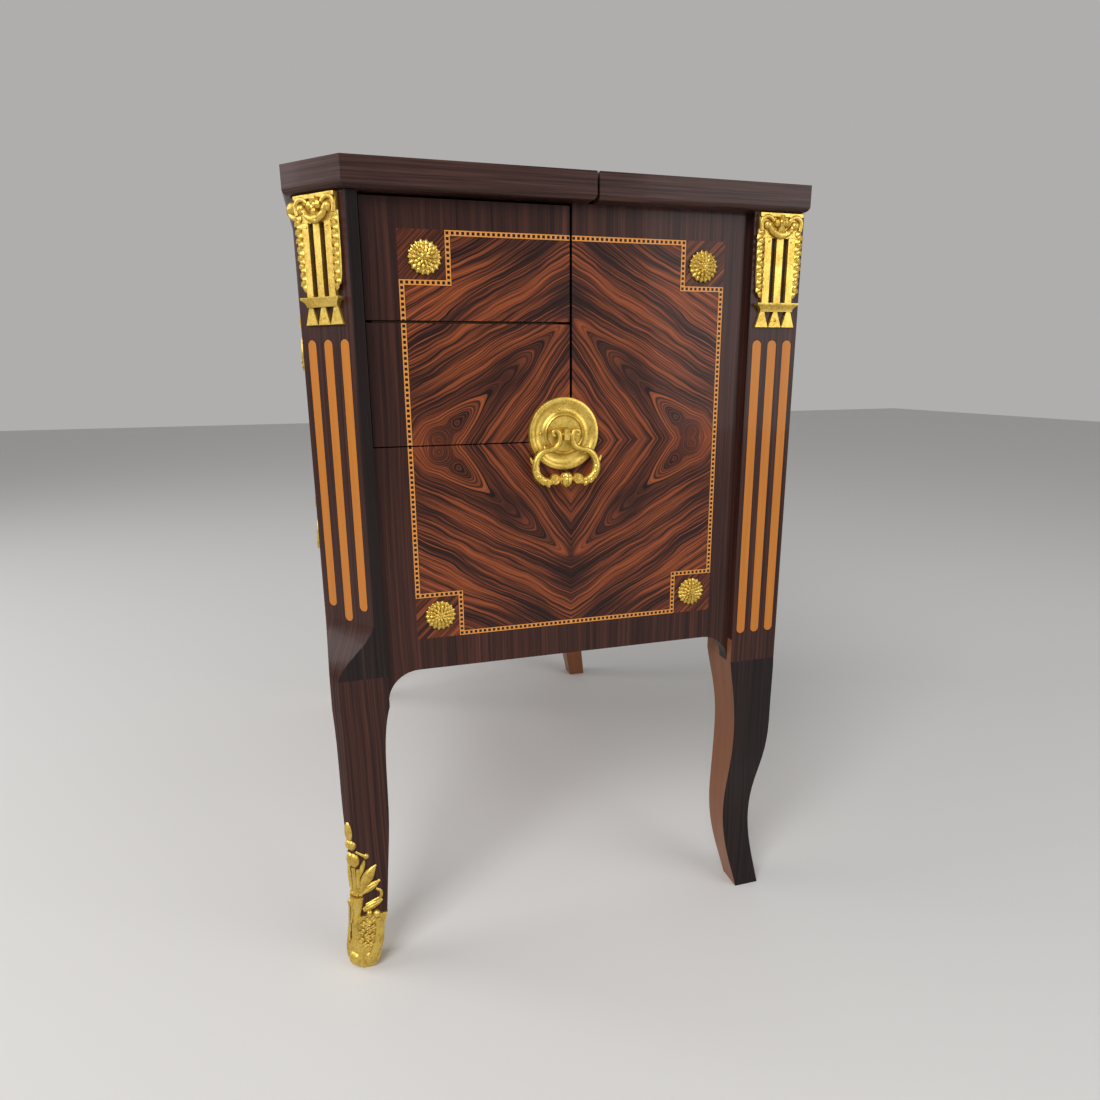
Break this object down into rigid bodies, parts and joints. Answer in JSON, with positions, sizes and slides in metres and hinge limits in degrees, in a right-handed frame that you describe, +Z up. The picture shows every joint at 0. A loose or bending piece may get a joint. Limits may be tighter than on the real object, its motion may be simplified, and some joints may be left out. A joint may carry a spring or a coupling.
{
  "type": "metamorphic desk",
  "caption": "Writing desk in the shape of a chest on cabriole legs, with a hinged top leaf, a writing slide, front drawers, end drawers, bail handles and a lock with its key.",
  "frame": {"origin": "on the floor, under the middle of the top", "axes": "X along the width, pictured end at +X; Y from front to back, drawers face -Y; Z up"},
  "size_m": [0.712, 0.486, 0.7841],
  "materials": {
    "veneer": "polished rosewood veneer",
    "oak": "plain waxed boards",
    "gilt": "gilt bronze",
    "brass": "plain brass",
    "leather": "tooled green leather"
  },
  "bodies": {
    "carcass": {"front_post_right": "veneer", "front_post_left": "veneer", "rear_post_right": "veneer", "rear_post_left": "veneer", "sabot_right": "gilt", "sabot_left": "gilt", "side_panel_right": "veneer", "side_panel_left": "veneer", "back_panel": "veneer", "front_apron": "veneer", "bottom_board": "oak", "middle_board": "oak", "drawer_guides": "oak", "bay_wall_right": "oak", "bay_wall_left": "oak", "bay_boards_right": "oak", "bay_boards_left": "oak", "rear_top": "veneer", "top_hinges": "brass", "chute_front_right": "gilt", "chute_front_left": "gilt", "chute_rear_right": "gilt", "chute_rear_left": "gilt", "side_rosettes_right": "gilt", "side_rosettes_left": "gilt"},
    "leaf": {"top_leaf": "veneer", "leaf_hinges": "brass"},
    "slide": {"writing_slide": "oak", "slide_leather": "leather", "slide_knobs": "gilt"},
    "upper_drawer": {"upper_drawer_front": "veneer", "upper_drawer_box": "oak", "upper_handle_plates": "gilt"},
    "lower_drawer": {"lower_drawer_front": "veneer", "lower_drawer_box": "oak", "lower_handle_plates": "gilt", "escutcheon": "gilt", "lock_case": "brass"},
    "bolt": {"lock_bolt": "brass"},
    "key": {"key": "brass"},
    "upper_bail_right": {"upper_bail_right": "gilt"},
    "upper_bail_left": {"upper_bail_left": "gilt"},
    "lower_bail_right": {"lower_bail_right": "gilt"},
    "lower_bail_left": {"lower_bail_left": "gilt"},
    "side_upper_right": {"side_upper_right_front": "veneer", "side_upper_right_box": "oak", "side_upper_right_rosette": "gilt"},
    "side_lower_right": {"side_lower_right_front": "veneer", "side_lower_right_box": "oak", "side_plate_right": "gilt"},
    "side_bail_right": {"side_bail_right": "gilt"},
    "side_upper_left": {"side_upper_left_front": "veneer", "side_upper_left_box": "oak", "side_upper_left_rosette": "gilt"},
    "side_lower_left": {"side_lower_left_front": "veneer", "side_lower_left_box": "oak", "side_plate_left": "gilt"},
    "side_bail_left": {"side_bail_left": "gilt"}
  },
  "joints": [
    {"name": "leaf_hinge", "type": "hinge", "parent": "carcass", "child": "leaf", "pos_m": [0, 0.0262, 0.7821], "axis": [-1, 0, 0], "range_deg": [0, 178]},
    {"name": "slide_pull", "type": "slide", "parent": "carcass", "child": "slide", "axis": [0, -1, 0], "range_m": [0, 0.19]},
    {"name": "upper_drawer_pull", "type": "slide", "parent": "carcass", "child": "upper_drawer", "axis": [0, -1, 0], "range_m": [0, 0.33]},
    {"name": "lower_drawer_pull", "type": "slide", "parent": "carcass", "child": "lower_drawer", "axis": [0, -1, 0], "range_m": [0, 0.33]},
    {"name": "key_turn", "type": "hinge", "parent": "lower_drawer", "child": "key", "pos_m": [0, -0.215, 0.496], "axis": [0, 1, 0], "range_deg": [0, 180]},
    {"name": "bolt_throw", "type": "slide", "parent": "lower_drawer", "child": "bolt", "axis": [0, 0, 1], "range_m": [0, 0.0075]},
    {"name": "upper_bail_right_swing", "type": "hinge", "parent": "upper_drawer", "child": "upper_bail_right", "pos_m": [0.176, -0.238, 0.66], "axis": [-1, 0, 0], "range_deg": [0, 85]},
    {"name": "upper_bail_left_swing", "type": "hinge", "parent": "upper_drawer", "child": "upper_bail_left", "pos_m": [-0.176, -0.238, 0.66], "axis": [-1, 0, 0], "range_deg": [0, 85]},
    {"name": "lower_bail_right_swing", "type": "hinge", "parent": "lower_drawer", "child": "lower_bail_right", "pos_m": [0.176, -0.238, 0.469], "axis": [-1, 0, 0], "range_deg": [0, 85]},
    {"name": "lower_bail_left_swing", "type": "hinge", "parent": "lower_drawer", "child": "lower_bail_left", "pos_m": [-0.176, -0.238, 0.469], "axis": [-1, 0, 0], "range_deg": [0, 85]},
    {"name": "side_upper_right_pull", "type": "slide", "parent": "carcass", "child": "side_upper_right", "axis": [1, 0, 0], "range_m": [0, 0.115]},
    {"name": "side_lower_right_pull", "type": "slide", "parent": "carcass", "child": "side_lower_right", "axis": [1, 0, 0], "range_m": [0, 0.115]},
    {"name": "side_bail_right_swing", "type": "hinge", "parent": "side_lower_right", "child": "side_bail_right", "pos_m": [0.3495, -0.0025, 0.55], "axis": [0, -1, 0], "range_deg": [0, 85]},
    {"name": "side_upper_left_pull", "type": "slide", "parent": "carcass", "child": "side_upper_left", "axis": [-1, 0, 0], "range_m": [0, 0.115]},
    {"name": "side_lower_left_pull", "type": "slide", "parent": "carcass", "child": "side_lower_left", "axis": [-1, 0, 0], "range_m": [0, 0.115]},
    {"name": "side_bail_left_swing", "type": "hinge", "parent": "side_lower_left", "child": "side_bail_left", "pos_m": [-0.3495, -0.0025, 0.55], "axis": [0, 1, 0], "range_deg": [0, 85]}
  ],
  "couplings": [
    {"joint": "bolt_throw", "follows": "key_turn", "m_per_rad": 0.0023873}
  ]
}
